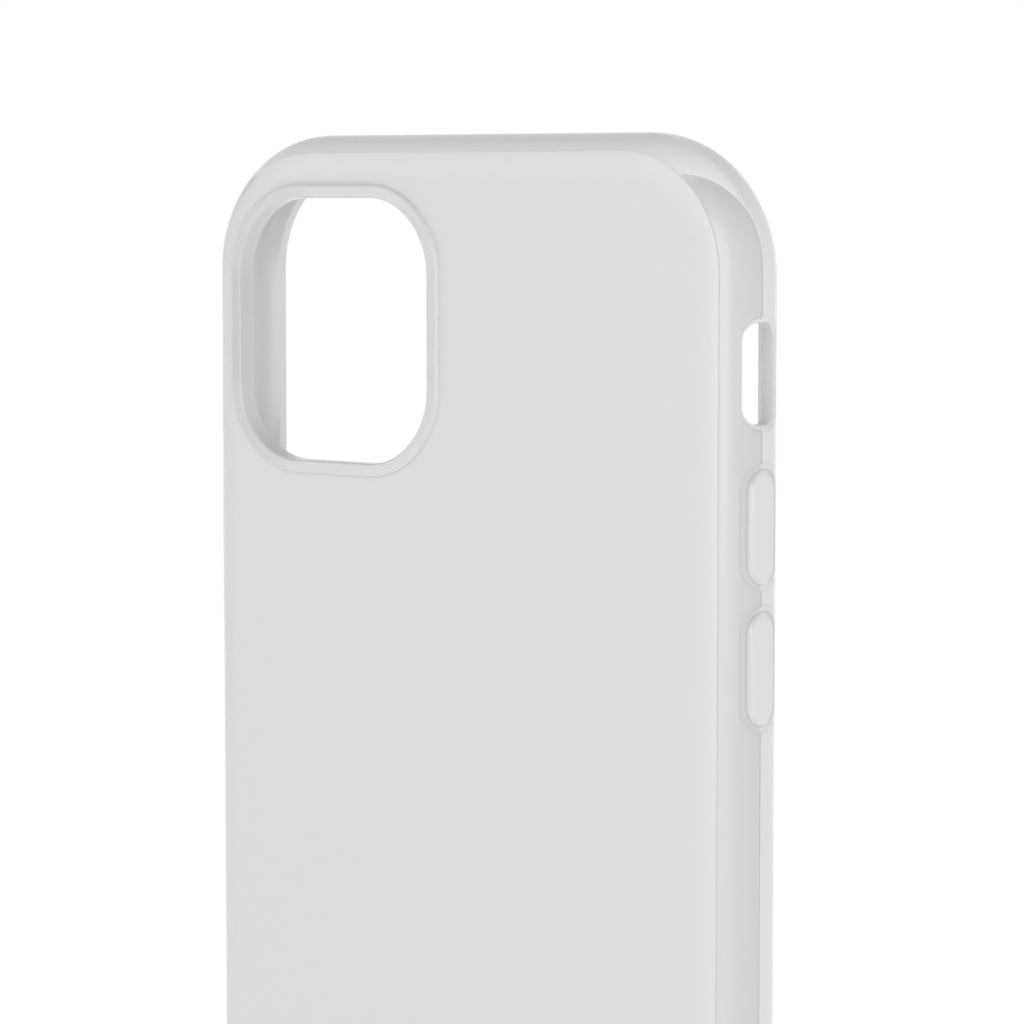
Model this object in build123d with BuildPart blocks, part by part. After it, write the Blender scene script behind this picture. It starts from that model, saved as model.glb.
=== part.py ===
"""Slim protective case for a 71.4 x 144 mm handset: a rigid back plate set in a flexible bumper frame.

X runs across the case, Y from the back face to the front lip and Z up its length, from the bottom edge.
"""
from build123d import *

import os

os.makedirs("parts", exist_ok=True)

# ---- Handset that the case is moulded for ----
HANDSET_WIDTH = 71.4
HANDSET_HEIGHT = 144.0
HANDSET_DEPTH = 8.1
HANDSET_CORNER = 13.55
HANDSET_EDGE = 3.9

# ---- Walls ----
SIDE_WALL = 1.6
BACK_WALL = 1.6
LIP_RISE = 0.7
LIP_OVERLAP = 1.8
BACK_ROUNDING = 5.05
FRONT_ROUNDING = 4.4
LIP_TRIM = 0.18
LIP_ROUNDING = 0.2

# ---- Rebate that the back plate is bonded into, with its edge's distances in from the outline ----
PLATE_SIDE_INSET = 2.5
PLATE_END_INSET = 2.0
LEDGE_WIDTH = 1.1
LEDGE_DEPTH = 1.45

# ---- Camera window and its raised collar ----
WINDOW_WIDTH = 27.4
WINDOW_HEIGHT = 29.4
WINDOW_CORNER = 8.4
WINDOW_FROM_LEFT = 19.9
WINDOW_BELOW_TOP = 21.7
COLLAR_WIDTH = 1.45
COLLAR_RISE = 0.6
COLLAR_ROUNDING = 0.25

# ---- Key covers: each has the side it is on, its centre below the top, and its length ----
KEYS = {
    "volume_up": (1, 41.2, 12.1),
    "volume_down": (1, 56.1, 12.1),
    "side": (-1, 48.6, 18.4),
}
KEY_WIDTH = 4.9
KEY_CORNER = 2.2
KEY_FROM_BACK = 5.45
KEY_RISE = 0.35
KEY_INNER = 1.3
KEY_BEVEL = 0.3
WEB_WIDTH = 0.6
WEB_THICKNESS = 0.4
WEB_CLEARANCE = 0.05
SLOT_DEPTH = 3.0

# ---- Cut-outs for the handset's switch, port and speakers ----
SWITCH_BELOW_TOP = 25.2
SWITCH_LENGTH = 10.6
SWITCH_WIDTH = 5.2
SWITCH_CORNER = 1.9
PORT_LENGTH = 13.0
PORT_WIDTH = 6.2
PORT_CORNER = 2.9
SPEAKER_LENGTH = 13.5
SPEAKER_WIDTH = 3.0
SPEAKER_CORNER = 1.4
SPEAKER_OFFSET = 18.5
MOUTH_CHAMFER = 0.5
MOUTH_REACH = 1.4

# ---- Sizes that follow ----
WIDTH = HANDSET_WIDTH + 2 * SIDE_WALL
HEIGHT = HANDSET_HEIGHT + 2 * SIDE_WALL
DEPTH = BACK_WALL + HANDSET_DEPTH + LIP_RISE
CORNER = HANDSET_CORNER + SIDE_WALL
LIP_INSET = SIDE_WALL + LIP_OVERLAP
BACK = (COLLAR_RISE - DEPTH) / 2
FRONT = BACK + DEPTH
FLOOR = BACK + BACK_WALL
CEILING = FRONT - LIP_RISE
KEY_LINE = BACK + KEY_FROM_BACK
WINDOW_X = WINDOW_FROM_LEFT - WIDTH / 2
WINDOW_Z = HEIGHT - WINDOW_BELOW_TOP
OUTSIDE = 4.0


def slab(outset, back, front, back_rounding, front_rounding):
    """Rounded slab whose outline stands a distance outside the case's own, with rounded long edges."""
    with BuildPart() as body:
        with BuildSketch(Plane.XZ.offset(-back)):
            with Locations((0, HEIGHT / 2)):
                RectangleRounded(WIDTH + 2 * outset, HEIGHT + 2 * outset, CORNER + outset)
        extrude(amount=back - front)
        fillet(body.edges().group_by(Axis.Y)[0], back_rounding)
        fillet(body.edges().group_by(Axis.Y)[-1], front_rounding)
    return body.part


def skin(outset):
    """The case's outer form, grown or shrunk evenly by a distance."""
    return slab(outset, BACK - outset, FRONT + LIP_TRIM + outset,
                BACK_ROUNDING + outset, FRONT_ROUNDING + outset)


def inset_prism(side_inset, end_inset, back, front):
    """Straight prism whose outline lies inside the case's own, by a distance at the sides and at the ends."""
    with BuildPart() as prism:
        with BuildSketch(Plane.XZ.offset(-back)):
            with Locations((0, HEIGHT / 2)):
                RectangleRounded(WIDTH - 2 * side_inset, HEIGHT - 2 * end_inset,
                                 CORNER - (side_inset + end_inset) / 2)
        extrude(amount=back - front)
    return prism.part


def window_prism(grow, back, front):
    """Straight prism of the camera window, grown on every side."""
    with BuildPart() as prism:
        with BuildSketch(Plane.XZ.offset(-back)):
            with Locations((WINDOW_X, WINDOW_Z)):
                RectangleRounded(WINDOW_WIDTH + 2 * grow, WINDOW_HEIGHT + 2 * grow, WINDOW_CORNER + grow)
        extrude(amount=back - front)
    return prism.part


def side_plane(side, distance, below_top):
    """Sketch plane facing out of one long side, with local x along the case's length."""
    return Plane(origin=(side * distance, KEY_LINE, HEIGHT - below_top), x_dir=(0, 0, 1), z_dir=(side, 0, 0))


def side_prism(side, below_top, length, width, corner, inner, outer):
    """Rounded prism through one long side, between two distances from the case's middle."""
    with BuildPart() as prism:
        with BuildSketch(side_plane(side, inner, below_top)):
            RectangleRounded(length, width, corner)
        extrude(amount=outer - inner)
    return prism.part


def bottom_plane(offset_x):
    """Sketch plane facing down, on the case's bottom edge."""
    return Plane(origin=(offset_x, KEY_LINE, 0), x_dir=(1, 0, 0), z_dir=(0, 0, -1))


pocket = slab(-SIDE_WALL, FLOOR, CEILING, HANDSET_EDGE, HANDSET_EDGE)
front_opening = inset_prism(LIP_INSET, LIP_INSET, KEY_LINE, FRONT + OUTSIDE)
plate_space = inset_prism(PLATE_SIDE_INSET, PLATE_END_INSET, BACK - OUTSIDE, BACK + LEDGE_DEPTH)
plate_step = inset_prism(PLATE_SIDE_INSET + LEDGE_WIDTH, PLATE_END_INSET + LEDGE_WIDTH,
                         BACK - OUTSIDE, KEY_LINE)

# ---- Bumper frame: side walls, front lip and the ledge behind the back plate ----
with BuildPart() as bumper_frame:
    add(skin(0))
    add(pocket, mode=Mode.SUBTRACT)
    add(front_opening, mode=Mode.SUBTRACT)
    split(bisect_by=Plane.XZ.offset(-FRONT), keep=Keep.TOP)
    lip_face = bumper_frame.faces().sort_by(Axis.Y)[-1]
    fillet(lip_face.inner_wires()[0].edges(), LIP_ROUNDING)
    add(plate_space, mode=Mode.SUBTRACT)
    add(plate_step, mode=Mode.SUBTRACT)
    with BuildSketch(side_plane(1, WIDTH / 2 - SLOT_DEPTH, SWITCH_BELOW_TOP)):
        RectangleRounded(SWITCH_LENGTH, SWITCH_WIDTH, SWITCH_CORNER)
    extrude(amount=SLOT_DEPTH + OUTSIDE, mode=Mode.SUBTRACT)
    with BuildSketch(bottom_plane(0).offset(-SLOT_DEPTH)):
        RectangleRounded(PORT_LENGTH, PORT_WIDTH, PORT_CORNER)
        with Locations((-SPEAKER_OFFSET, 0), (SPEAKER_OFFSET, 0)):
            RectangleRounded(SPEAKER_LENGTH, SPEAKER_WIDTH, SPEAKER_CORNER)
    extrude(amount=SLOT_DEPTH + OUTSIDE, mode=Mode.SUBTRACT)
    openings = bumper_frame.edges().filter_by_position(
        Axis.Y, KEY_LINE - PORT_WIDTH / 2, KEY_LINE + PORT_WIDTH / 2)
    mouths = openings.filter_by_position(Axis.X, WIDTH / 2 - MOUTH_REACH, WIDTH / 2)
    mouths += openings.filter_by_position(Axis.Z, 0, MOUTH_REACH)
    chamfer(mouths, MOUTH_CHAMFER)
    for side, below_top, length in KEYS.values():
        add(side_prism(side, below_top, length + 2 * WEB_WIDTH, KEY_WIDTH + 2 * WEB_WIDTH,
                       KEY_CORNER + WEB_WIDTH, WIDTH / 2 - SLOT_DEPTH, WIDTH / 2 + OUTSIDE),
            mode=Mode.SUBTRACT)
bumper_frame.part.label = "bumper_frame"
export_step(bumper_frame.part, "parts/bumper_frame.step")

# ---- Back plate: the flat back and the start of its rounding, stepped to sit on the frame's ledge ----
with BuildPart() as back_plate:
    add(skin(0))
    add(plate_space + plate_step, mode=Mode.INTERSECT)
    add(pocket, mode=Mode.SUBTRACT)
    add(window_prism(COLLAR_WIDTH, BACK - OUTSIDE, KEY_LINE), mode=Mode.SUBTRACT)
back_plate.part.label = "back_plate"
export_step(back_plate.part, "parts/back_plate.step")

# ---- Camera collar: the raised ring round the window ----
with BuildPart() as camera_collar:
    add(window_prism(COLLAR_WIDTH, BACK - COLLAR_RISE, FLOOR))
    add(window_prism(0, BACK - OUTSIDE, KEY_LINE), mode=Mode.SUBTRACT)
    crest = camera_collar.edges().group_by(Axis.Y)[0]
    fillet(crest, COLLAR_ROUNDING)
camera_collar.part.label = "camera_collar"
export_step(camera_collar.part, "parts/camera_collar.step")

# ---- Key covers, and the thin flexible web that carries each one in its slot ----
for key_name, (side, below_top, length) in KEYS.items():
    with BuildPart() as key:
        add(side_prism(side, below_top, length, KEY_WIDTH, KEY_CORNER,
                       WIDTH / 2 - KEY_INNER, WIDTH / 2 + OUTSIDE))
        add(skin(KEY_RISE), mode=Mode.INTERSECT)
        outer_face = key.faces().sort_by(Axis.X)[-1 if side > 0 else 0]
        chamfer(outer_face.edges(), KEY_BEVEL)
    key.part.label = key_name + "_key"
    export_step(key.part, "parts/" + key_name + "_key.step")

    with BuildPart() as web:
        add(side_prism(side, below_top, length + 2 * WEB_WIDTH, KEY_WIDTH + 2 * WEB_WIDTH,
                       KEY_CORNER + WEB_WIDTH, WIDTH / 2 - SLOT_DEPTH, WIDTH / 2 + OUTSIDE))
        add(skin(0), mode=Mode.INTERSECT)
        add(skin(-WEB_THICKNESS), mode=Mode.SUBTRACT)
        add(side_prism(side, below_top, length + 2 * WEB_CLEARANCE, KEY_WIDTH + 2 * WEB_CLEARANCE,
                       KEY_CORNER + WEB_CLEARANCE, 0, WIDTH / 2 + OUTSIDE),
            mode=Mode.SUBTRACT)
    web.part.label = key_name + "_web"
    export_step(web.part, "parts/" + key_name + "_web.step")
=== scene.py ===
"""Slim protective phone case: a printed back plate in a milky flexible frame, with a clear camera collar.

Every piece is made in metres in the row frame: X across, Y from the back to the open front
and Z up the length.
"""
import math

import bmesh
import bpy
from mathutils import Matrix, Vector


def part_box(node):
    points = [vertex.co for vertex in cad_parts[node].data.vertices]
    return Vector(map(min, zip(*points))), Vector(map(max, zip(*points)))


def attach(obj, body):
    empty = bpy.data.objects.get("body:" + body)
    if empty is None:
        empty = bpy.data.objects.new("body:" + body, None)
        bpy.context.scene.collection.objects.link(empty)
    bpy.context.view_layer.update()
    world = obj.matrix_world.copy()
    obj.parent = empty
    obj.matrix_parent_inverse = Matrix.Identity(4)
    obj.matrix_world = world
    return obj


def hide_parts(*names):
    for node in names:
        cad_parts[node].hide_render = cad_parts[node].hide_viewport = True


bl_info = {
    "name": "slim phone case",
    "version": (1, 0, 0),
    "blender": (4, 5, 0),
    "location": "View3D > Sidebar > Cover",
    "description": "Builds the finished look of a slim phone case around its fixed frame",
    "category": "Object",
}

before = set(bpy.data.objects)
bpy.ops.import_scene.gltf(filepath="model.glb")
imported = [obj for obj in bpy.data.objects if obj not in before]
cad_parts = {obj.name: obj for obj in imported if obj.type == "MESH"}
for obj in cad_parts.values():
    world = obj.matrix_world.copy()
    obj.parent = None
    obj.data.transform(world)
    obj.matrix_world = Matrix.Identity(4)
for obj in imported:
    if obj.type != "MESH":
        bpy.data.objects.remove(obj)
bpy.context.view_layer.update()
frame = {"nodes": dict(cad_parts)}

MM = 0.001
FRAME_LOW, FRAME_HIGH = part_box("bumper_frame")
PLATE_LOW, PLATE_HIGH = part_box("back_plate")
COLLAR_LOW, COLLAR_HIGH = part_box("camera_collar")
HALF_WIDTH = FRAME_HIGH.x
HEIGHT = FRAME_HIGH.z
MID_Z = HEIGHT / 2
BACK_Y = PLATE_LOW.y
LIP_Y = FRAME_HIGH.y
WINDOW_X = (COLLAR_LOW.x + COLLAR_HIGH.x) / 2
WINDOW_Z = (COLLAR_LOW.z + COLLAR_HIGH.z) / 2
KEY_NODES = ("volume_up", "volume_down", "side")
CREASE_SIDE = 1.5
CREASE_TURN = 15
CREASE_RATE = 0.099
CREASE_POWER = 1.71
# Painted shade on the frame: a deeper zone beside the moulding line, fading out in the corners.
SHADE_TURN = 60
SHADE_ANGLE = 70
PAINTED_ZONE_SHADE = 0.42
GROOVE_SINK = 0.01 * MM
# Painted light on the frame towards its upper end and corners.
PAINTED_END_LIGHT = 0.26
# Painted shade on the key covers' sloping rims, deeper on the front slope.
PAINTED_FRONT_SLOPE_SHADE = 0.65
PAINTED_BACK_SLOPE_SHADE = 0.22
BEVEL_SLOPE = 0.2
# Angle over which the panel's painted light grows at its top end.
PANEL_BEND = 37
RIDGE_RISE = 0.347
RIDGE_SHAPE = ((19, 0), (19.6, 0.7), (20.3, 1), (21, 0.7), (21.6, 0))
# Painted highlight along the fine parting ridge.
PAINTED_RIDGE_HIGHLIGHT = 0.8
RIDGE_DEPTH_RANGE = 0.06 * MM
RIDGE_WIDTH_RANGE = 0.1 * MM
OFF_SKIN = 0.2 * MM
SHADE_FADE = 14
# Painted highlight and painted shade on the back and front flanks of the moulding line's groove.
PAINTED_GROOVE_HIGHLIGHT = 0.4
PAINTED_GROOVE_SHADE = 0.85
# Painted light on the frame's upper end: where it sets in round the corner, and how it grows beyond the
# moulding line towards the long sides.
CORNER_LIGHT_TURN = 15
CORNER_LIGHT_SPREAD = 20
CORNER_LIGHT_ANGLE = 15
SIDE_LIGHT_TURN = 80
SIDE_LIGHT_SPREAD = 30
# Where the panel's painted light at its top end sets in round the corner.
PAINTED_PANEL_LIGHT_TURN = 20
PAINTED_PANEL_LIGHT_SPREAD = 50
# Painted highlight on the collar's outer wall: which faces get it, and how light it is.
COLLAR_TOP_SLOPE = -0.8
PAINTED_RIM_HIGHLIGHT = 1.08
WEB_GAP = 0.008 * MM


def clamp(value):
    """A value kept from 0 to 1."""
    return min(max(value, 0.0), 1.0)


def millimetres(name, description, default):
    """A length property whose default is given in millimetres."""
    return bpy.props.FloatProperty(
        name=name, description=description, default=default * MM, unit="LENGTH", precision=5)


def colour(name, description, default):
    """A colour property."""
    return bpy.props.FloatVectorProperty(
        name=name, description=description, default=default, subtype="COLOR", size=3, min=0.0, max=1.0)


class CoverSizes(bpy.types.PropertyGroup):
    """Sizes that the frame's boxes don't say."""

    corner: millimetres("Corner", "Radius of the outline's corners", 15.15)
    back_rounding: millimetres("Back rounding", "Radius of the edge round the back", 5.05)
    front_rounding: millimetres("Front rounding", "Radius of the edge round the front", 4.4)
    lip_trim: millimetres("Lip trim", "How far the front rounding is cut off flat below its crown", 0.18)
    side_wall: millimetres("Side wall", "Thickness of the side walls", 1.6)
    back_wall: millimetres("Back wall", "Thickness of the back", 1.6)
    lip_rise: millimetres("Lip rise", "Height of the lip above the handset's face", 0.7)
    lip_overlap: millimetres("Lip overlap", "How far the lip reaches over the handset", 1.8)
    pocket_rounding: millimetres("Pocket rounding", "Radius of the handset's long edges", 3.9)
    plate_side_inset: millimetres(
        "Plate inset at the sides", "From the outline to the back plate's edge", 2.5)
    plate_end_inset: millimetres(
        "Plate inset at the ends", "From the outline to the back plate's edge", 2.0)
    ledge_width: millimetres("Ledge width", "Width of the ledge that the back plate is bonded to", 1.1)
    ledge_depth: millimetres("Ledge depth", "Depth of the ledge below the back", 1.45)
    joint_width: millimetres("Joint width", "Half width of the fine groove between plate and frame", 0.06)
    joint_depth: millimetres("Joint depth", "Depth of the groove between plate and frame", 0.04)
    crease_width: millimetres("Crease width", "Half width of the moulding line along each side", 0.11)
    crease_depth: millimetres("Crease depth", "Depth of the moulding line along each side", 0.05)
    ridge_height: millimetres(
        "Ridge height", "Height of the fine parting ridge round the front rounding", 0.03)
    collar_width: millimetres("Collar width", "Width of the raised ring round the window", 1.45)
    window_corner: millimetres("Window corner", "Corner radius of the camera window", 8.4)
    key_top: millimetres("Key top", "Height of a key cover's flat top above the side wall", 0.22)
    key_bevel: millimetres("Key bevel", "Mean width of the sloping rim of a key cover", 0.66)
    key_shift: millimetres("Key shift", "How far a key cover's flat top lies back from the middle", 0.38)
    key_corner: millimetres("Key corner", "Corner radius of a key cover's outline", 2.2)
    web_width: millimetres("Web width", "Width of the flexible ring round a key cover", 0.6)
    web_thickness: millimetres("Web thickness", "Thickness of that ring", 0.4)
    switch_below_top: millimetres(
        "Switch below top", "Centre of the switch cut-out below the top edge", 25.2)
    switch_length: millimetres("Switch length", "Length of the switch cut-out", 10.6)
    switch_width: millimetres("Switch width", "Width of the switch cut-out", 5.2)
    port_length: millimetres("Port length", "Length of the charging port opening", 13.0)
    port_width: millimetres("Port width", "Width of the charging port opening", 6.2)
    speaker_length: millimetres("Speaker length", "Length of each speaker opening", 13.5)
    speaker_width: millimetres("Speaker width", "Width of each speaker opening", 3.0)
    speaker_offset: millimetres("Speaker offset", "Distance of a speaker opening from the middle", 18.5)
    opening_from_back: millimetres("Opening from back", "Centre of the side openings from the back", 5.45)
    dot_pitch: millimetres("Dot pitch", "Spacing of the fine dots on the pocket floor", 1.9)
    dot_radius: millimetres("Dot radius", "Radius of one dot", 0.28)
    dot_height: millimetres("Dot height", "Height of one dot above the floor", 0.05)


class CoverColours(bpy.types.PropertyGroup):
    """Colours of the finishes, and of the painted shade and painted light."""

    panel: colour("Panel", "Printed back panel", (0.635, 0.635, 0.636))
    # Painted light: the lighter tone at the panel's top end where it bends over.
    panel_painted_light: colour(
        "Panel end", "Thinner print where the panel bends over at its top", (0.785, 0.785, 0.786))
    frame: colour("Frame", "Milky flexible frame", (0.66, 0.66, 0.661))
    # Painted shade: the deeper tone beside the frame's moulding line and in its groove, and on the key
    # covers' sloping rims.
    shade: colour("Shade", "The frame's deeper tone beside the moulding line", (0.4, 0.4, 0.401))
    # Painted highlight: the lighter tone on the parting ridge, the groove's back flank, the frame's upper
    # end and the collar's outer wall.
    painted_highlight_tone: colour(
        "Thin edge", "The frame's thin moulded edges, where light comes through", (0.9, 0.9, 0.9))
    rim: colour("Rim", "Clear camera collar", (0.79, 0.79, 0.792))
    floor: colour("Floor", "Studio floor", (0.92, 0.92, 0.92))


# ---------------------------------------------------------------- outlines and profiles


class Station:
    """A point of an outline in the XZ plane, with the direction out of it."""

    def __init__(self, x, z, nx, nz):
        self.x, self.z, self.nx, self.nz = x, z, nx, nz

    def turn(self):
        """Angle round the corner in degrees, from 0 on a long side to 90 on an end."""
        return math.degrees(math.atan2(abs(self.nz), abs(self.nx)))

    def at(self, inset, y):
        """Point a distance inside the outline, at a depth."""
        return (self.x - self.nx * inset, y, self.z - self.nz * inset)


def spread(start, end, steps):
    """Values from start up to, but not including, end."""
    return [start + (end - start) * k / steps for k in range(steps)]


def outline(centre_x, centre_z, half_x, half_z, corner, arc_steps, end_steps, side_steps, near=()):
    """Stations round a rounded rectangle, with extra ones on its straight runs near the corners."""
    stations = []
    for quarter in range(4):
        side_x = 1 if quarter in (0, 3) else -1
        side_z = 1 if quarter in (0, 1) else -1
        arc_x = centre_x + side_x * (half_x - corner)
        arc_z = centre_z + side_z * (half_z - corner)
        for angle in spread(quarter * 90, quarter * 90 + 90, arc_steps):
            nx, nz = math.cos(math.radians(angle)), math.sin(math.radians(angle))
            stations.append(Station(arc_x + corner * nx, arc_z + corner * nz, nx, nz))
        turned = math.radians(quarter * 90 + 90)
        nx, nz = round(math.cos(turned)), round(math.sin(turned))
        run, steps = (2 * (half_x - corner), end_steps) if nz else (2 * (half_z - corner), side_steps)
        start = Station(arc_x + corner * nx, arc_z + corner * nz, nx, nz)
        places = [0.0, *near] + spread(0, run, steps)[1:] + [run - place for place in reversed(near)]
        for along in sorted(places):
            stations.append(Station(start.x - nz * along, start.z + nx * along, nx, nz))
    return stations


def case_outline(sizes):
    """Stations round the case."""
    return outline(0, MID_Z, HALF_WIDTH, MID_Z, sizes.corner, 30, 12, 30,
                   near=(0.7 * MM, 1.5 * MM, 2.5 * MM))


def window_outline(sizes):
    """Stations round the outer edge of the camera collar."""
    half_x, half_z = (COLLAR_HIGH.x - COLLAR_LOW.x) / 2, (COLLAR_HIGH.z - COLLAR_LOW.z) / 2
    return outline(WINDOW_X, WINDOW_Z, half_x, half_z, sizes.window_corner + sizes.collar_width, 24, 4, 4)


def distance_to(station, half_x, half_z, corner):
    """Distance inwards from a station to another rounded rectangle about the case's centre."""
    low, high = 0.0, 8 * MM
    for _ in range(40):
        mid = (low + high) / 2
        x, _y, z = station.at(mid, 0)
        qx, qz = abs(x) - half_x + corner, abs(z - MID_Z) - half_z + corner
        outside = math.hypot(max(qx, 0), max(qz, 0)) + min(max(qx, qz), 0) - corner
        low, high = (mid, high) if outside > 0 else (low, mid)
    return (low + high) / 2


def crown_y(sizes):
    """Depth where the front rounding would end if its crown weren't trimmed."""
    return LIP_Y + sizes.lip_trim


def inset_at(sizes, y, outset=0.0):
    """Distance inside the outline of the outer skin at a depth, for a skin grown by outset."""
    back_centre = BACK_Y + sizes.back_rounding
    front_centre = crown_y(sizes) - sizes.front_rounding
    if y < back_centre:
        radius = sizes.back_rounding + outset
        return sizes.back_rounding - math.sqrt(max(radius**2 - (back_centre - y) ** 2, 0))
    if y > front_centre:
        radius = sizes.front_rounding + outset
        return sizes.front_rounding - math.sqrt(max(radius**2 - (y - front_centre) ** 2, 0))
    return -outset


def back_arc(sizes, angle, sunk=0.0):
    """Point of the back rounding as inset and depth, at an angle from the side, sunk below the skin."""
    radius = sizes.back_rounding
    turned = math.radians(angle)
    return (radius - (radius - sunk) * math.cos(turned),
            BACK_Y + radius - (radius - sunk) * math.sin(turned))


def pocket_arc(sizes, angle):
    """Point of the pocket's back rounding as inset and depth, at an angle from the side."""
    radius = sizes.pocket_rounding
    turned = math.radians(angle)
    return (sizes.side_wall + radius * (1 - math.cos(turned)),
            BACK_Y + sizes.back_wall + radius * (1 - math.sin(turned)))


def pocket_front_arc(sizes, angle):
    """Point of the pocket's front rounding as inset and depth, at an angle from the side."""
    radius = sizes.pocket_rounding
    turned = math.radians(angle)
    return (sizes.side_wall + radius * (1 - math.cos(turned)),
            LIP_Y - sizes.lip_rise - radius * (1 - math.sin(turned)))


def plate_edge(sizes, station, grow):
    """Distance inwards from a station to the back plate's edge, or to an outline grown inside it."""
    side, end = sizes.plate_side_inset + grow, sizes.plate_end_inset + grow
    return distance_to(station, HALF_WIDTH - side, MID_Z - end, sizes.corner - (side + end) / 2)


def panel_angle(sizes, station):
    """Angle round the back rounding where the back plate's joint line lies."""
    return math.degrees(math.acos(1 - plate_edge(sizes, station, 0) / sizes.back_rounding))


def ledge_angle(sizes, station):
    """Angle round the pocket's back rounding where the ledge ends."""
    reach = plate_edge(sizes, station, sizes.ledge_width) - sizes.side_wall
    return math.degrees(math.acos(1 - reach / sizes.pocket_rounding))


def crease_angle(turn):
    """Angle round the back rounding of the moulding line, which climbs to the joint line in the corners."""
    return CREASE_SIDE + CREASE_RATE * max(0.0, turn - CREASE_TURN) ** CREASE_POWER


def angles(start, end, steps):
    """Angles from start to end, both included."""
    return [start + (end - start) * k / steps for k in range(steps + 1)]


# ---------------------------------------------------------------- meshes


def make_object(name, vertices, faces):
    """A mesh object whose faces point outwards."""
    mesh = bpy.data.meshes.new(name)
    mesh.from_pydata(vertices, [], faces)
    work = bmesh.new()
    work.from_mesh(mesh)
    bmesh.ops.remove_doubles(work, verts=work.verts, dist=1e-7)
    bmesh.ops.recalc_face_normals(work, faces=work.faces)
    work.to_mesh(mesh)
    work.free()
    made = bpy.data.objects.new(name, mesh)
    bpy.context.scene.collection.objects.link(made)
    return made


def skin_loops(loops, closed_up=False, caps=False):
    """Vertices and faces of a stack of equal loops.

    closed_up joins the last loop to the first, and caps fill the ends.
    """
    count = len(loops[0])
    vertices = [point for loop in loops for point in loop]
    faces = []
    for row in range(len(loops) if closed_up else len(loops) - 1):
        low, high = row * count, (row + 1) % len(loops) * count
        for k in range(count):
            step = (k + 1) % count
            faces.append((low + k, low + step, high + step, high + k))
    if caps:
        faces.append(tuple(range(count)))
        faces.append(tuple(range((len(loops) - 1) * count, len(loops) * count)))
    return vertices, faces


def replace_mesh(target, mesh):
    """Gives an object another mesh and removes its old one and its modifiers."""
    old = target.data
    target.modifiers.clear()
    target.data = mesh
    bpy.data.meshes.remove(old)


def evaluated_mesh(target):
    """The object's mesh with its modifiers applied."""
    bpy.context.view_layer.update()
    graph = bpy.context.evaluated_depsgraph_get()
    return bpy.data.meshes.new_from_object(target.evaluated_get(graph), depsgraph=graph)


def cut(target, cutters):
    """Takes the cutters out of the target and deletes them."""
    for cutter in cutters:
        modifier = target.modifiers.new(cutter.name, "BOOLEAN")
        modifier.operation = "DIFFERENCE"
        modifier.solver = "EXACT"
        modifier.object = cutter
    replace_mesh(target, evaluated_mesh(target))
    for cutter in cutters:
        bpy.data.objects.remove(cutter)


def skin_normal(sizes, point):
    """Direction out of the outer skin at a point on it, or None off the skin."""
    qx = abs(point.x) - HALF_WIDTH + sizes.corner
    qz = abs(point.z - MID_Z) - MID_Z + sizes.corner
    if qx > 0 and qz > 0:
        reach = math.hypot(qx, qz)
        out_x, out_z, inset = qx / reach, qz / reach, sizes.corner - reach
    elif qx > qz:
        out_x, out_z, inset = 1.0, 0.0, sizes.corner - qx
    else:
        out_x, out_z, inset = 0.0, 1.0, sizes.corner - qz
    back_centre = BACK_Y + sizes.back_rounding
    front_centre = crown_y(sizes) - sizes.front_rounding
    if back_centre <= point.y <= front_centre:
        across, along, off_skin = 1.0, 0.0, abs(inset)
    else:
        behind = point.y < back_centre
        radius = sizes.back_rounding if behind else sizes.front_rounding
        across, along = max(radius - inset, 0.0), point.y - (back_centre if behind else front_centre)
        off_skin = abs(math.hypot(across, along) - radius)
    if off_skin > 0.006 * MM:
        return None
    sign_x, sign_z = math.copysign(1, point.x), math.copysign(1, point.z - MID_Z)
    return Vector((sign_x * out_x * across, along, sign_z * out_z * across)).normalized()


def smooth(target, sharp=32):
    """Shades an object smooth but for its sharp edges."""
    mesh = target.data
    mesh.polygons.foreach_set("use_smooth", [True] * len(mesh.polygons))
    mesh.set_sharp_from_angle(angle=math.radians(sharp))


def smooth_skin(sizes, target):
    """Shades an object smooth, with the outer skin's own normals wherever a face lies on that skin."""
    smooth(target)
    mesh = target.data
    normals = [Vector(corner.vector) for corner in mesh.corner_normals]
    known = {}
    for face in mesh.polygons:
        for loop in face.loop_indices:
            index = mesh.loops[loop].vertex_index
            if index not in known:
                known[index] = skin_normal(sizes, mesh.vertices[index].co)
            true = known[index]
            if true is not None and face.normal.dot(true) > 0.96:
                normals[loop] = true
    mesh.normals_split_custom_set(normals)


def turn_and_inset(sizes, point):
    """Turn round the corner and distance inside the outline of a point."""
    qx = abs(point.x) - HALF_WIDTH + sizes.corner
    qz = abs(point.z - MID_Z) - MID_Z + sizes.corner
    if qx > 0 and qz > 0:
        return math.degrees(math.atan2(qz, qx)), sizes.corner - math.hypot(qx, qz)
    return (0.0, sizes.corner - qx) if qx > qz else (90.0, sizes.corner - qz)


def place_round(sizes, point):
    """Turn round the corner of a point, and its reach and angle about the centre of the back rounding."""
    turn, inset = turn_and_inset(sizes, point)
    across, along = sizes.back_rounding - inset, BACK_Y + sizes.back_rounding - point.y
    return turn, math.hypot(across, along), math.degrees(math.atan2(along, across))


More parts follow.
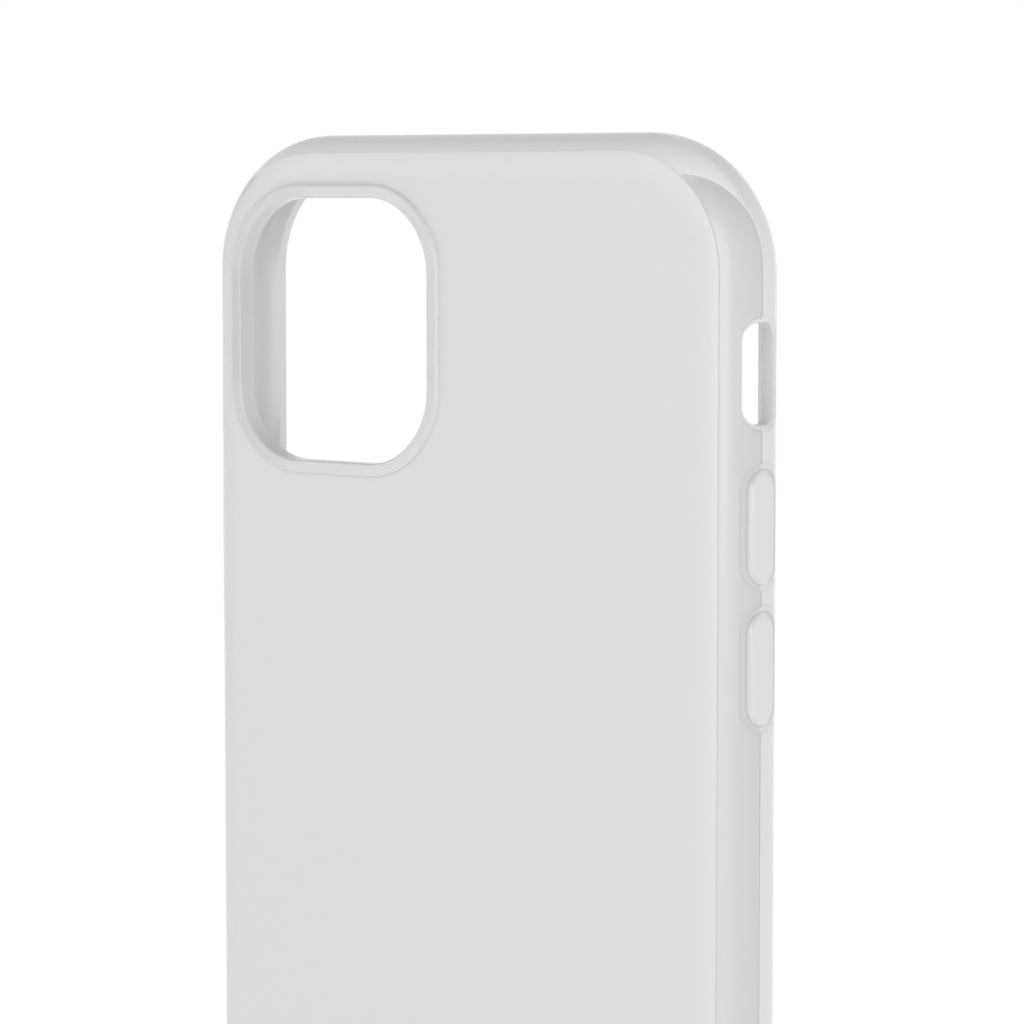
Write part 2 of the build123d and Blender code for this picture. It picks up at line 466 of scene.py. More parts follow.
def painted_skin_tones(sizes, point, middle):
    """Painted shade and painted light at a point of the skin, for the face whose middle is given."""
    turn, reach, angle = place_round(sizes, middle)
    crease = crease_angle(turn)
    # Off the back rounding: the painted highlight on the parting ridge.
    if abs(reach - sizes.back_rounding) > OFF_SKIN:
        return 0.0, painted_ridge_highlight(sizes, middle)
    fade = clamp((SHADE_TURN - turn) / SHADE_FADE)
    half = math.degrees(sizes.crease_width / sizes.back_rounding)
    # Painted shade in the moulding line's groove, with a painted highlight on its back flank.
    if abs(angle - crease) < half and reach < sizes.back_rounding - GROOVE_SINK:
        return (0.0, PAINTED_GROOVE_HIGHLIGHT * fade) if angle > crease else (PAINTED_GROOVE_SHADE * fade, 0.0)
    _turn, _reach, place = place_round(sizes, point)
    # Painted light on the upper end and its corners only.
    light = PAINTED_END_LIGHT * clamp((turn - CORNER_LIGHT_TURN) / CORNER_LIGHT_SPREAD)
    light = light * clamp(place / CORNER_LIGHT_ANGLE) if middle.z > MID_Z else 0.0
    if angle < crease:
        return 0.0, light * (1 + clamp((SIDE_LIGHT_TURN - turn) / SIDE_LIGHT_SPREAD))
    # Painted shade in the zone beside the moulding line, deepest at the line and fading towards the joint
    # line.
    share = clamp((place - crease) / (SHADE_ANGLE - crease))
    return PAINTED_ZONE_SHADE * fade * (1 - share**2), light * (1 - fade)


def painted_ridge_highlight(sizes, middle):
    """Painted highlight along the fine parting ridge round the front rounding."""
    front = crown_y(sizes) - sizes.front_rounding
    _turn, inset = turn_and_inset(sizes, middle)
    reach = math.hypot(sizes.front_rounding - inset, middle.y - front)
    on_skin = abs(reach - sizes.front_rounding) < RIDGE_DEPTH_RANGE
    on_ridge = abs(middle.y - front - RIDGE_RISE * sizes.front_rounding) < RIDGE_WIDTH_RANGE
    return PAINTED_RIDGE_HIGHLIGHT if on_skin and on_ridge else 0.0


def panel_painted_tones(sizes, point):
    """Painted light on the panel at a point, which grows where the panel bends over at its top end."""
    turn, _reach, angle = place_round(sizes, point)
    if angle > 90 or point.y > BACK_Y + sizes.back_wall or point.z < MID_Z:
        return 0.0, 0.0
    return 0.0, min((90 - angle) / PANEL_BEND, 1.0) * clamp((turn - PAINTED_PANEL_LIGHT_TURN) / PAINTED_PANEL_LIGHT_SPREAD)


def bevel_painted_shade(face):
    """Painted shade on a key cover's face, deepest on the front slope of its rim and lighter on the back
    slope.
    """
    if face.normal.y < 0:
        return PAINTED_BACK_SLOPE_SHADE * min(-face.normal.y / BEVEL_SLOPE, 1.0), 0.0
    return PAINTED_FRONT_SLOPE_SHADE * min(face.normal.y / BEVEL_SLOPE, 1.0), 0.0


def collar_painted_highlight(face):
    """Painted highlight on the collar's outer wall."""
    outwards = face.center - Vector((WINDOW_X, face.center.y, WINDOW_Z))
    return 0.0, 1.0 if face.normal.dot(outwards) > 0 and face.normal.y > COLLAR_TOP_SLOPE else 0.0


def store_painted_tones(piece, tones_at):
    """Stores two painted tones at each corner of each face: the painted shade and the painted light, as two
    corner attributes.
    """
    mesh = piece.data
    deep = mesh.attributes.new("painted_shade_share", "FLOAT", "CORNER")
    light = mesh.attributes.new("painted_light_share", "FLOAT", "CORNER")
    tones = [(0.0, 0.0)] * len(mesh.loops)
    for face in mesh.polygons:
        for loop in face.loop_indices:
            tones[loop] = tones_at(mesh.vertices[mesh.loops[loop].vertex_index].co, face)
    deep.data.foreach_set("value", [tone[0] for tone in tones])
    light.data.foreach_set("value", [tone[1] for tone in tones])


def finish_piece(piece, body, replaced, material):
    """Gives a finished piece its material and its place in the frame."""
    piece.data.materials.clear()
    piece.data.materials.append(material)
    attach(piece, body)
    if replaced:
        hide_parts(*replaced)


# ---------------------------------------------------------------- walls and openings


def wall_point(sizes, wall, along, y, outset):
    """Point of the right, left or bottom wall's outer skin, grown by outset."""
    inset = inset_at(sizes, y, outset)
    if wall == "bottom":
        return (along, y, inset)
    side = 1 if wall == "right" else -1
    return (side * (HALF_WIDTH - inset), y, along)


def opening_loop(sizes, wall, centre, length, width, corner, outset, shift=0.0):
    """A rounded rectangle lying on a wall's skin, grown by outset and shifted towards the back."""
    middle_y = BACK_Y + sizes.opening_from_back - shift
    around = outline(centre, middle_y, length / 2, width / 2, min(corner, width / 2 - 0.05 * MM), 10, 8, 6)
    return [wall_point(sizes, wall, station.x, station.z, outset) for station in around]


def opening_cutter(sizes, wall, centre, length, width, corner, flare_length, flare_width, lean=0.0):
    """Cutter through a wall, straight inside, with a rounded mouth that may lean towards the back."""
    steps = [(0.0, -3.4 * MM), (0.0, -0.6 * MM)]
    for angle in (15, 30, 45, 58):
        turned = math.radians(angle)
        steps.append((1 - math.cos(turned), -0.6 * MM * (1 - math.sin(turned))))
    steps.append((steps[-1][0], 1.2 * MM))
    loops = []
    for share, outset in steps:
        loops.append(opening_loop(sizes, wall, centre, length + 2 * share * flare_length,
                                  width + 2 * share * flare_width,
                                  corner + share * (flare_length + flare_width) / 2, outset, share * lean))
    return make_object("cutter", *skin_loops(loops, caps=True))


def key_box(name):
    """The side a key cover is on, its centre up the case, and its outline's length and width."""
    low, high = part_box(name + "_key")
    wall = "right" if high.x > 0 else "left"
    return wall, (low.z + high.z) / 2, high.z - low.z, high.y - low.y


# ---------------------------------------------------------------- materials


def new_material(name):
    """A material with an empty node tree but for its shader and output."""
    material = bpy.data.materials.new(name)
    material.use_nodes = True
    nodes = material.node_tree.nodes
    nodes.clear()
    shader = nodes.new("ShaderNodeBsdfPrincipled")
    output = nodes.new("ShaderNodeOutputMaterial")
    material.node_tree.links.new(shader.outputs["BSDF"], output.inputs["Surface"])
    return material, shader


def noise(material, scale, detail, roughness=0.5):
    """Noise on the object's own coordinates."""
    nodes, links = material.node_tree.nodes, material.node_tree.links
    place = nodes.new("ShaderNodeTexCoord")
    texture = nodes.new("ShaderNodeTexNoise")
    texture.inputs["Scale"].default_value = scale
    texture.inputs["Detail"].default_value = detail
    texture.inputs["Roughness"].default_value = roughness
    links.new(place.outputs["Object"], texture.inputs["Vector"])
    return texture


def ranged(material, source, low, high):
    """A value from 0 to 1 mapped to a range."""
    nodes, links = material.node_tree.nodes, material.node_tree.links
    mapped = nodes.new("ShaderNodeMapRange")
    mapped.inputs["To Min"].default_value = low
    mapped.inputs["To Max"].default_value = high
    links.new(source, mapped.inputs["Value"])
    return mapped.outputs["Result"]


def mixed(material, share, first, second):
    """Two colours mixed by a value."""
    nodes, links = material.node_tree.nodes, material.node_tree.links
    mix = nodes.new("ShaderNodeMix")
    mix.data_type = "RGBA"
    mix.inputs["A"].default_value = (*first, 1)
    mix.inputs["B"].default_value = (*second, 1)
    links.new(share, mix.inputs["Factor"])
    return mix.outputs["Result"]


def lightened(material, tone, light):
    """A tone that turns into a lighter one where the painted light attribute says, for painted light and
    painted highlights.
    """
    nodes, links = material.node_tree.nodes, material.node_tree.links
    # The attribute that carries the painted light and painted highlights.
    thin = nodes.new("ShaderNodeAttribute")
    thin.attribute_name = "painted_light_share"
    lit = nodes.new("ShaderNodeMix")
    lit.data_type = "RGBA"
    lit.inputs["B"].default_value = (*light, 1)
    links.new(thin.outputs["Fac"], lit.inputs["Factor"])
    links.new(tone, lit.inputs["A"])
    return lit.outputs["Result"]


def bumped(material, shader, height, strength, distance):
    """Bump on a shader from a height."""
    nodes, links = material.node_tree.nodes, material.node_tree.links
    bump = nodes.new("ShaderNodeBump")
    bump.inputs["Strength"].default_value = strength
    bump.inputs["Distance"].default_value = distance
    links.new(height, bump.inputs["Height"])
    links.new(bump.outputs["Normal"], shader.inputs["Normal"])


def scaled(rgb, factor):
    """A colour made lighter or darker."""
    return tuple(min(channel * factor, 1.0) for channel in rgb)


def flexible_material(colours):
    """Milky, glossy flexible plastic, with painted shade and painted highlights mixed into its tone where
    the two corner attributes say.
    """
    material, shader = new_material("milky_flexible")
    links = material.node_tree.links
    # Painted shade, then painted light, mixed into the plastic's tone.
    edge = material.node_tree.nodes.new("ShaderNodeAttribute")
    edge.attribute_name = "painted_shade_share"
    toned = mixed(material, edge.outputs["Fac"], colours.frame, colours.shade)
    links.new(lightened(material, toned, colours.painted_highlight_tone), shader.inputs["Base Color"])
    gloss = noise(material, 90, 3)
    links.new(ranged(material, gloss.outputs["Fac"], 0.2, 0.3), shader.inputs["Roughness"])
    shader.inputs["Subsurface Weight"].default_value = 0.25
    shader.inputs["Subsurface Radius"].default_value = (1.0, 1.0, 1.0)
    shader.inputs["Subsurface Scale"].default_value = 0.0012
    shader.inputs["Coat Weight"].default_value = 0.35
    shader.inputs["Coat Roughness"].default_value = 0.08
    ripple = noise(material, 260, 2)
    bumped(material, shader, ripple.outputs["Fac"], 0.04, 0.0001)
    return material


def panel_material(colours):
    """Smooth printed panel under a satin gloss, with a very fine print grain and painted light at its top
    end.
    """
    material, shader = new_material("printed_panel")
    links = material.node_tree.links
    grain = noise(material, 1400, 2)
    toned = mixed(material, grain.outputs["Fac"],
                  scaled(colours.panel, 0.992), scaled(colours.panel, 1.008))
    links.new(lightened(material, toned, colours.panel_painted_light), shader.inputs["Base Color"])
    gloss = noise(material, 60, 3)
    links.new(ranged(material, gloss.outputs["Fac"], 0.3, 0.38), shader.inputs["Roughness"])
    shader.inputs["Coat Weight"].default_value = 0.2
    shader.inputs["Coat Roughness"].default_value = 0.15
    bumped(material, shader, grain.outputs["Fac"], 0.02, 0.00005)
    return material


def rim_material(colours):
    """Clear glossy moulded plastic, with a painted highlight on its outer wall."""
    material, shader = new_material("clear_rim")
    links = material.node_tree.links
    flow = noise(material, 120, 2)
    toned = mixed(material, flow.outputs["Fac"], scaled(colours.rim, 0.98), scaled(colours.rim, 1.02))
    links.new(lightened(material, toned, scaled(colours.painted_highlight_tone, PAINTED_RIM_HIGHLIGHT)), shader.inputs["Base Color"])
    shader.inputs["Roughness"].default_value = 0.12
    shader.inputs["Transmission Weight"].default_value = 0.35
    shader.inputs["IOR"].default_value = 1.49
    shader.inputs["Coat Weight"].default_value = 0.4
    shader.inputs["Coat Roughness"].default_value = 0.05
    bumped(material, shader, flow.outputs["Fac"], 0.03, 0.0001)
    return material


MAKERS = {"milky_flexible": flexible_material, "printed_panel": panel_material, "clear_rim": rim_material}


def finish_of(context, name):
    """A finish by name, made the first time it is asked for."""
    return bpy.data.materials.get(name) or MAKERS[name](context.scene.cover_colours)


# ---------------------------------------------------------------- operators


class COVER_OT_bumper_frame(bpy.types.Operator):
    """Make the flexible side frame with its lip, ledge, moulding line and openings"""

    bl_idname = "cover.bumper_frame"
    bl_label = "Bumper frame"

    def profile(self, sizes, station):
        """The frame's closed section at a station, as insets and depths."""
        panel = panel_angle(sizes, station)
        joint = math.degrees(sizes.joint_width / sizes.back_rounding)
        half = math.degrees(sizes.crease_width / sizes.back_rounding)
        low = panel - joint - half - 0.5
        crease = min(low, crease_angle(station.turn()))
        depth = sizes.crease_depth * min(1, (low - crease) / 12)
        points = [back_arc(sizes, panel, sizes.joint_depth)]
        points += [back_arc(sizes, angle) for angle in angles(panel - joint, crease + half, 9)]
        points.append(back_arc(sizes, crease, depth))
        past = crease - half
        points += [back_arc(sizes, angle) for angle in angles(past, min(past, 0) - 0.5, 6)]
        front = crown_y(sizes) - sizes.front_rounding
        lip = math.degrees(math.asin((LIP_Y - front) / sizes.front_rounding))
        around = [(angle, 0) for angle in (0, 7, 14)] + list(RIDGE_SHAPE)
        around += [(angle, 0) for angle in angles(27, lip, 9)]
        for angle, share in around:
            turned = math.radians(angle)
            radius = sizes.front_rounding + share * sizes.ridge_height
            points.append((sizes.front_rounding - radius * math.cos(turned),
                           front + radius * math.sin(turned)))
        opening = sizes.side_wall + sizes.lip_overlap
        roll = 0.2 * MM
        for angle in (0, 30, 60, 90):
            turned = math.radians(angle)
            points.append((opening - roll * (1 - math.sin(turned)), LIP_Y - roll * (1 - math.cos(turned))))
        inner = math.degrees(math.acos(1 - sizes.lip_overlap / sizes.pocket_rounding))
        points += [pocket_front_arc(sizes, angle) for angle in angles(inner, 0, 8)]
        points += [pocket_arc(sizes, angle) for angle in angles(0, ledge_angle(sizes, station), 8)]
        points.append((plate_edge(sizes, station, sizes.ledge_width), BACK_Y + sizes.ledge_depth))
        points.append((plate_edge(sizes, station, 0), BACK_Y + sizes.ledge_depth))
        return points

    def execute(self, context):
        sizes = context.scene.cover_sizes
        stations = case_outline(sizes)
        sections = [self.profile(sizes, station) for station in stations]
        loops = [[station.at(inset, y) for inset, y in section]
                 for station, section in zip(stations, sections)]
        piece = make_object("flexible_frame", *skin_loops(loops, closed_up=True))
        cutters = [
            opening_cutter(sizes, "right", HEIGHT - sizes.switch_below_top, sizes.switch_length,
                           sizes.switch_width, 1.9 * MM, 1.6 * MM, 0.8 * MM, lean=0.6 * MM),
            opening_cutter(sizes, "bottom", 0, sizes.port_length, sizes.port_width,
                           2.9 * MM, 0.6 * MM, 0.5 * MM),
        ]
        for offset in (-sizes.speaker_offset, sizes.speaker_offset):
            cutters.append(opening_cutter(sizes, "bottom", offset, sizes.speaker_length,
                                          sizes.speaker_width, 1.4 * MM, 0.5 * MM, 0.5 * MM))
        for name in KEY_NODES:
            wall, centre, length, width = key_box(name)
            grow = 2 * sizes.web_width
            cutters.append(opening_cutter(sizes, wall, centre, length + grow, width + grow,
                                          sizes.key_corner + sizes.web_width, 0, 0))
        cut(piece, cutters)
        # Painted shade beside the moulding line, painted light on the upper end, and painted highlights on
        # the groove and the parting ridge.
        store_painted_tones(piece, lambda point, face: painted_skin_tones(sizes, point, face.center))
        smooth_skin(sizes, piece)
        finish_piece(piece, "case", ["bumper_frame"],
                     finish_of(context, "milky_flexible"))
        return {"FINISHED"}


class COVER_OT_back_plate(bpy.types.Operator):
    """Make the printed back plate, stepped at its edge and open at the camera window"""

    bl_idname = "cover.back_plate"
    bl_label = "Back plate"

    def execute(self, context):
        sizes = context.scene.cover_sizes
        stations = case_outline(sizes)
        joint = math.degrees(sizes.joint_width / sizes.back_rounding)
        flat = [5.6 * MM, 6.6 * MM, 8 * MM]
        sections = []
        for station in stations:
            panel = panel_angle(sizes, station)
            section = [(inset, BACK_Y) for inset in reversed(flat)]
            section += [back_arc(sizes, angle) for angle in angles(90, panel + joint, 10)]
            section.append(back_arc(sizes, panel, sizes.joint_depth))
            section.append((plate_edge(sizes, station, 0), BACK_Y + sizes.ledge_depth))
            section.append((plate_edge(sizes, station, sizes.ledge_width), BACK_Y + sizes.ledge_depth))
            section += [pocket_arc(sizes, angle) for angle in angles(ledge_angle(sizes, station), 90, 6)]
            section += [(inset, BACK_Y + sizes.back_wall) for inset in flat]
            sections.append([station.at(*place) for place in section])
        loops = [list(loop) for loop in zip(*sections)]
        piece = make_object("printed_back", *skin_loops(loops, caps=True))
        window = window_outline(sizes)
        hole = [[station.at(0, y) for station in window] for y in (BACK_Y - 2 * MM, BACK_Y + 4 * MM)]
        cut(piece, [make_object("cutter", *skin_loops(hole, caps=True))])
        # Painted light at the panel's top end.
        store_painted_tones(piece, lambda point, _face: panel_painted_tones(sizes, point))
        smooth_skin(sizes, piece)
        finish_piece(piece, "case", ["back_plate"], finish_of(context, "printed_panel"))
        return {"FINISHED"}


class COVER_OT_camera_collar(bpy.types.Operator):
    """Make the raised clear ring round the camera window"""

    bl_idname = "cover.camera_collar"
    bl_label = "Camera collar"

    def execute(self, context):
        sizes = context.scene.cover_sizes
        width = sizes.collar_width
        crest = COLLAR_LOW.y
        floor = BACK_Y + sizes.back_wall
        section = [(width, floor)]
        section += self.rolled((width, crest), 0.3 * MM, -1)
        section += [(width * 0.45, crest)]
        section += self.rolled((0.0, crest), 0.3 * MM, 1)
        section += [(0.0, BACK_Y + 0.05 * MM), (0.0, floor)]
        window = window_outline(sizes)
        loops = [[station.at(inset, y) for inset, y in section] for station in window]
        piece = make_object("clear_collar", *skin_loops(loops, closed_up=True))
        # Painted highlight on the collar's outer wall.
        store_painted_tones(piece, lambda _point, face: collar_painted_highlight(face))
        smooth_skin(sizes, piece)
        finish_piece(piece, "case", ["camera_collar"], finish_of(context, "clear_rim"))
        return {"FINISHED"}

    def rolled(self, corner, radius, way):
        """Rounding of the crest's edge: way is 1 for the outer edge and -1 for the inner one."""
        inset, crest = corner
        points = []
        for angle in (0, 22.5, 45, 67.5, 90):
            turned = math.radians(angle if way < 0 else 90 - angle)
            points.append((inset + way * radius * (1 - math.cos(turned)),
                           crest + radius * (1 - math.sin(turned))))
        return points


class COVER_OT_key_covers(bpy.types.Operator):
    """Make the raised covers over the handset's keys"""

    bl_idname = "cover.key_covers"
    bl_label = "Key covers"

    def execute(self, context):
        sizes = context.scene.cover_sizes
        for name in KEY_NODES:
            piece = make_object(name + "_cover", *skin_loops(self.pad_loops(sizes, name), caps=True))
            # Painted shade on the covers' sloping rims.
            store_painted_tones(piece, lambda _point, face: bevel_painted_shade(face))
            smooth(piece, 40)
            finish_piece(piece, name, [name + "_key"], finish_of(context, "milky_flexible"))
        return {"FINISHED"}

    def pad_loops(self, sizes, name):
        """Loops of a cover, from its inner end out to its flat top, with more slope at its front rim."""
        wall, centre, length, width = key_box(name)
        top = sizes.key_top
        loops = [opening_loop(sizes, wall, centre, length, width, sizes.key_corner, depth)
                 for depth in (-1.3 * MM, -0.2 * MM)]
        steps = [(0.0, 0.0), (0.05, 0.22), (0.5, 0.68), (0.85, 0.94), (1.0, 1.0)]
        steps += [(share * width / 2 / sizes.key_bevel, 1.0) for share in (0.45, 0.62, 0.8, 0.93)]
        for spent, share in steps:
            inset = spent * sizes.key_bevel
            corner, shift = max(sizes.key_corner - inset, 0.06 * MM), sizes.key_shift * min(1, spent)
            loop = opening_loop(sizes, wall, centre, length - 2 * inset, width - 2 * inset,
                                corner, 0.0, shift)
            loops.append([(x + share * (math.copysign(HALF_WIDTH + top, x) - x), y, z) for x, y, z in loop])
        return loops


class COVER_OT_key_webs(bpy.types.Operator):
    """Make the thin flexible ring that joins each key cover to the frame"""

    bl_idname = "cover.key_webs"
    bl_label = "Key webs"

    def execute(self, context):
        sizes = context.scene.cover_sizes
        reach, thick = sizes.web_width, sizes.web_thickness
        steps = [(reach, 0.0), (0.5 * reach, 0.0), (WEB_GAP, 0.0),
                 (WEB_GAP, -thick), (0.5 * reach, -thick), (reach, -thick)]
        for name in KEY_NODES:
            wall, centre, length, width = key_box(name)
            loops = [opening_loop(sizes, wall, centre, length + 2 * grow, width + 2 * grow,
                                  sizes.key_corner + grow, outset)
                     for grow, outset in steps]
            piece = make_object(name + "_flexing_ring", *skin_loops(loops, closed_up=True))
            # Painted shade and painted light on the rings, carried on from the frame's skin.
            store_painted_tones(piece, lambda point, face: painted_skin_tones(sizes, point, face.center))
            smooth_skin(sizes, piece)
            finish_piece(piece, "case", [name + "_web"], finish_of(context, "milky_flexible"))
        return {"FINISHED"}


class COVER_OT_pocket_dots(bpy.types.Operator):
    """Make the fine raised dots on the pocket floor that keep the handset's back from sticking"""

    bl_idname = "cover.pocket_dots"
    bl_label = "Pocket dots"

    def execute(self, context):
        sizes = context.scene.cover_sizes
        material = finish_of(context, "printed_panel")
        tree, sockets = dot_tree(material)
        piece = make_object("pocket_dots", [(0, 0, 0)], [])
        modifier = piece.modifiers.new("dots", "NODES")
        modifier.node_group = tree
        flat = sizes.side_wall + sizes.pocket_rounding + sizes.dot_pitch / 2
        values = {"Half width": HALF_WIDTH - flat, "Half length": MID_Z - flat, "Pitch": sizes.dot_pitch,
                  "Radius": sizes.dot_radius, "Height": sizes.dot_height, "Floor": BACK_Y + sizes.back_wall,
                  "Middle": MID_Z, "Window X": WINDOW_X, "Window Z": WINDOW_Z,
                  "Window reach": (COLLAR_HIGH.z - COLLAR_LOW.z) / 2 + sizes.dot_radius}
        for name, value in values.items():
            modifier[sockets[name]] = value
        replace_mesh(piece, evaluated_mesh(piece))
        finish_piece(piece, "case", [], material)
        return {"FINISHED"}


def dot_tree(material):
    """Geometry Nodes that lay a staggered field of low dots on a floor, but for the window."""
    tree = bpy.data.node_groups.new("pocket_dots", "GeometryNodeTree")
    names = ("Half width", "Half length", "Pitch", "Radius", "Height", "Floor", "Middle",
             "Window X", "Window Z", "Window reach")
    face = tree.interface
    face.new_socket("Geometry", in_out="INPUT", socket_type="NodeSocketGeometry")
    sockets = {name: face.new_socket(name, in_out="INPUT", socket_type="NodeSocketFloat").identifier
               for name in names}
    face.new_socket("Geometry", in_out="OUTPUT", socket_type="NodeSocketGeometry")
    given = tree.nodes.new("NodeGroupInput")

    def put(kind, inputs, **settings):
        """A node with settings, and with its inputs linked to other nodes' outputs or set."""
        node = tree.nodes.new(kind)
        for name, value in settings.items():
            setattr(node, name, value)
        for name, value in inputs.items():
            if isinstance(value, bpy.types.NodeSocket):
                tree.links.new(value, node.inputs[name])
            else:
                node.inputs[name].default_value = value
        return node

    def maths(operation, first, second=0.0):
        """The result of one operation on two values."""
        return put("ShaderNodeMath", {0: first, 1: second}, operation=operation).outputs[0]

    def vector(x, y, z):
        """A vector from three values."""
        return put("ShaderNodeCombineXYZ", {0: x, 1: y, 2: z}).outputs[0]

    pitch = given.outputs["Pitch"]
    rise = maths("MULTIPLY", pitch, math.sqrt(3))
    across = maths("FLOOR", maths("DIVIDE", given.outputs["Half width"], pitch))
    along = maths("FLOOR", maths("DIVIDE", given.outputs["Half length"], rise))
    counts = [maths("ADD", maths("MULTIPLY", count, 2.0), 1.0) for count in (across, along)]
    spans = [maths("MULTIPLY", maths("MULTIPLY", count, 2.0), step)
             for count, step in ((across, pitch), (along, rise))]
    grid = put("GeometryNodeMeshGrid", {"Size X": spans[0], "Size Y": spans[1],
                                        "Vertices X": counts[0], "Vertices Y": counts[1]}).outputs["Mesh"]
    halved = vector(maths("MULTIPLY", pitch, 0.5), maths("MULTIPLY", rise, 0.5), 0.0)
    moved = put("GeometryNodeTransform", {"Geometry": grid, "Translation": halved}).outputs[0]
    both = put("GeometryNodeJoinGeometry", {})
    tree.links.new(grid, both.inputs[0])
    tree.links.new(moved, both.inputs[0])
    laid = put("GeometryNodeTransform", {
        "Geometry": both.outputs[0], "Rotation": (math.radians(90), 0, 0),
        "Translation": vector(0.0, given.outputs["Floor"], given.outputs["Middle"])}).outputs[0]
    place = put("ShaderNodeSeparateXYZ", {0: put("GeometryNodeInputPosition", {}).outputs[0]})
    near = []
    for axis, centre in (("X", "Window X"), ("Z", "Window Z")):
        away = maths("ABSOLUTE", maths("SUBTRACT", place.outputs[axis], given.outputs[centre]))
        near.append(maths("LESS_THAN", away, given.outputs["Window reach"]))
    beyond = maths("GREATER_THAN", maths("ABSOLUTE", place.outputs["X"]), given.outputs["Half width"])
    drop = maths("GREATER_THAN", maths("ADD", maths("MULTIPLY", near[0], near[1]), beyond), 0.5)
    kept = put("GeometryNodeDeleteGeometry", {"Geometry": laid, "Selection": drop},
               domain="POINT").outputs[0]
    radius = given.outputs["Radius"]
    dot = put("GeometryNodeMeshCone", {"Vertices": 8, "Radius Top": maths("MULTIPLY", radius, 0.6),
                                       "Radius Bottom": radius,
                                       "Depth": given.outputs["Height"]}).outputs["Mesh"]
    spread_out = put("GeometryNodeInstanceOnPoints", {"Points": kept, "Instance": dot,
                                                      "Rotation": (math.radians(-90), 0, 0)}).outputs[0]
    whole = put("GeometryNodeRealizeInstances", {"Geometry": spread_out}).outputs[0]
    finished = put("GeometryNodeSetMaterial", {"Geometry": whole, "Material": material}).outputs[0]
    output = tree.nodes.new("NodeGroupOutput")
    tree.links.new(finished, output.inputs[0])
    return tree, sockets


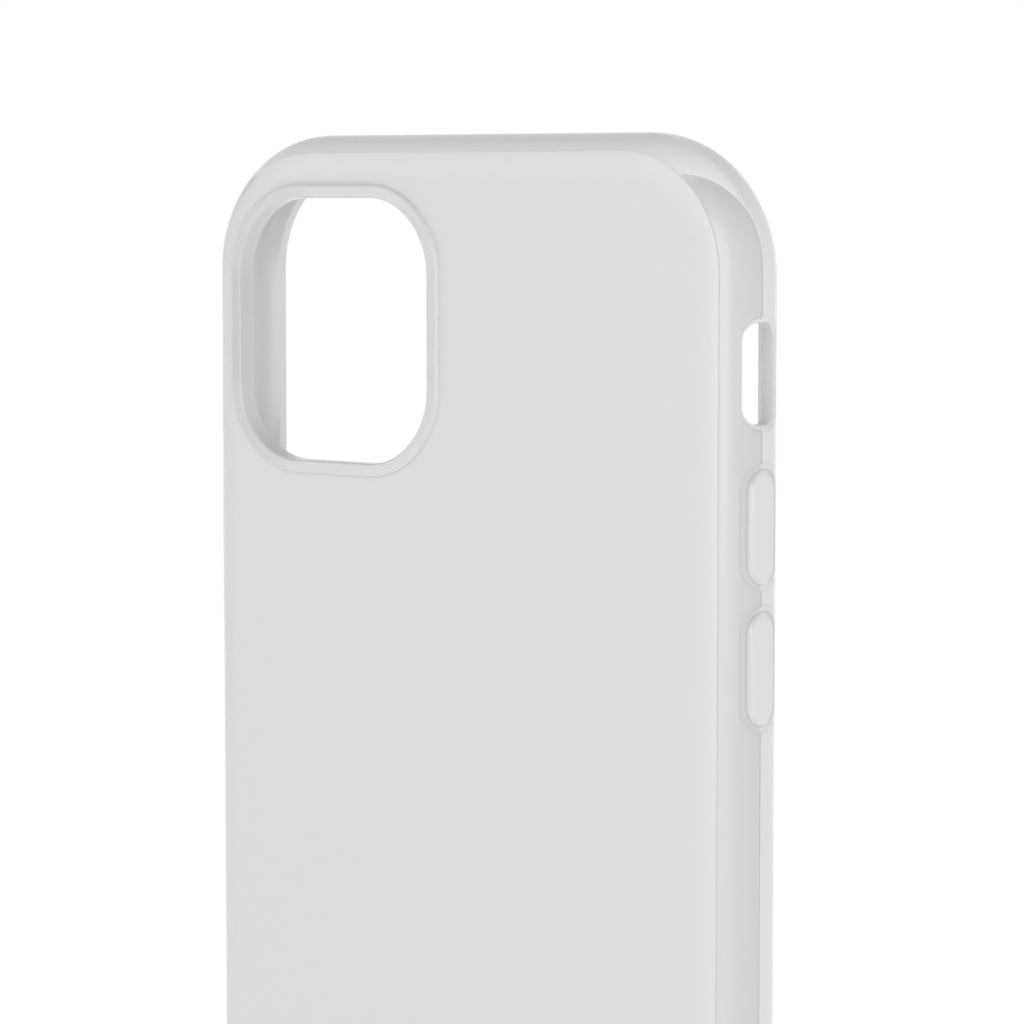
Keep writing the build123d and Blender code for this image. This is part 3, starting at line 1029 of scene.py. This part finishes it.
class COVER_OT_stage(bpy.types.Operator):
    """Make the floor, the soft lights and the camera"""

    bl_idname = "cover.stage"
    bl_label = "Stage"

    azimuth: bpy.props.FloatProperty(
        name="Azimuth", description="Camera direction round the case, in degrees", default=38.66)
    elevation: bpy.props.FloatProperty(
        name="Elevation", description="Camera height above the horizon, in degrees", default=4.75)
    distance: bpy.props.FloatProperty(name="Distance", description="Camera distance from its target",
                                      default=0.42868, unit="LENGTH")
    lens: bpy.props.FloatProperty(name="Lens", description="Focal length in millimetres on a 36 mm sensor",
                                  default=137.26)
    target: bpy.props.FloatVectorProperty(name="Target", description="Point that the camera looks at",
                                          default=(0.00356, 0.0006, 0.10585), subtype="XYZ", unit="LENGTH")

    def execute(self, context):
        scene = context.scene
        self.make_floor(context)
        self.make_world(scene)
        self.make_light("key_light", (0.6, -1.0, 0.35), 0.9, 3.6)
        self.make_camera(scene)
        scene.view_settings.view_transform = "Standard"
        return {"FINISHED"}

    def make_floor(self, context):
        """A wide pale floor under the case."""
        half = 6.0
        corners = [(-half, -half, 0), (half, -half, 0), (half, half, 0), (-half, half, 0)]
        floor = make_object("floor", corners, [(0, 1, 2, 3)])
        material, shader = new_material("studio_floor")
        shade = noise(material, 3, 2)
        tone = context.scene.cover_colours.floor
        toned = mixed(material, shade.outputs["Fac"], scaled(tone, 0.995), scaled(tone, 1.005))
        material.node_tree.links.new(toned, shader.inputs["Base Color"])
        shader.inputs["Roughness"].default_value = 0.9
        shader.inputs["Emission Color"].default_value = (1, 1, 1, 1)
        shader.inputs["Emission Strength"].default_value = 0.42
        floor.data.materials.append(material)

    def make_world(self, scene):
        """Even white surroundings, dimmer overhead and to the left."""
        world = bpy.data.worlds.new("studio")
        scene.world = world
        world.use_nodes = True
        nodes, links = world.node_tree.nodes, world.node_tree.links
        background = nodes["Background"]
        place = nodes.new("ShaderNodeTexCoord")
        facing = nodes.new("ShaderNodeVectorMath")
        facing.operation = "DOT_PRODUCT"
        facing.inputs[1].default_value = (-0.25, 0, 1)
        ramp = nodes.new("ShaderNodeValToRGB")
        ramp.color_ramp.elements[0].position = 0.3
        ramp.color_ramp.elements[0].color = (1, 1, 1, 1)
        ramp.color_ramp.elements[1].position = 0.95
        ramp.color_ramp.elements[1].color = (0.36, 0.36, 0.36, 1)
        links.new(place.outputs["Generated"], facing.inputs[0])
        links.new(facing.outputs["Value"], ramp.inputs["Fac"])
        links.new(ramp.outputs["Color"], background.inputs["Color"])
        background.inputs["Strength"].default_value = 1.0

    def make_light(self, name, place, size, power):
        """A soft square light that faces the case."""
        lamp = bpy.data.lights.new(name, "AREA")
        lamp.size = size
        lamp.energy = power
        light = bpy.data.objects.new(name, lamp)
        bpy.context.scene.collection.objects.link(light)
        light.location = place
        light.rotation_mode = "QUATERNION"
        light.rotation_quaternion = (Vector((0, 0, MID_Z)) - Vector(place)).to_track_quat("-Z", "Y")

    def make_camera(self, scene):
        """The camera, level with the upper part of the case."""
        data = bpy.data.cameras.new("camera")
        data.sensor_width = 36
        data.lens = self.lens
        camera = bpy.data.objects.new("camera", data)
        scene.collection.objects.link(camera)
        around, above = math.radians(self.azimuth), math.radians(self.elevation)
        level = math.cos(above)
        back = Vector((math.sin(around) * level, -math.cos(around) * level, math.sin(above)))
        camera.location = Vector(self.target) + back * self.distance
        camera.rotation_mode = "QUATERNION"
        camera.rotation_quaternion = (-back).to_track_quat("-Z", "Y")
        scene.camera = camera


class COVER_PT_pieces(bpy.types.Panel):
    """Lists the pieces of the phone case"""

    bl_idname = "COVER_PT_pieces"
    bl_label = "Cover"
    bl_space_type = "VIEW_3D"
    bl_region_type = "UI"
    bl_category = "Cover"

    def draw(self, context):
        for piece in PIECES:
            self.layout.operator(piece.bl_idname)


PIECES = (COVER_OT_bumper_frame, COVER_OT_back_plate, COVER_OT_camera_collar, COVER_OT_key_covers,
          COVER_OT_key_webs, COVER_OT_pocket_dots, COVER_OT_stage)
CLASSES = (CoverSizes, CoverColours, *PIECES, COVER_PT_pieces)


def register():
    for kind in CLASSES:
        bpy.utils.register_class(kind)
    bpy.types.Scene.cover_sizes = bpy.props.PointerProperty(type=CoverSizes)
    bpy.types.Scene.cover_colours = bpy.props.PointerProperty(type=CoverColours)


def unregister():
    del bpy.types.Scene.cover_colours
    del bpy.types.Scene.cover_sizes
    for kind in reversed(CLASSES):
        bpy.utils.unregister_class(kind)


def main():
    register()
    bpy.ops.cover.bumper_frame()
    bpy.ops.cover.back_plate()
    bpy.ops.cover.camera_collar()
    bpy.ops.cover.key_covers()
    bpy.ops.cover.key_webs()
    bpy.ops.cover.pocket_dots()
    bpy.ops.cover.stage()


if __name__ == "__main__":
    main()
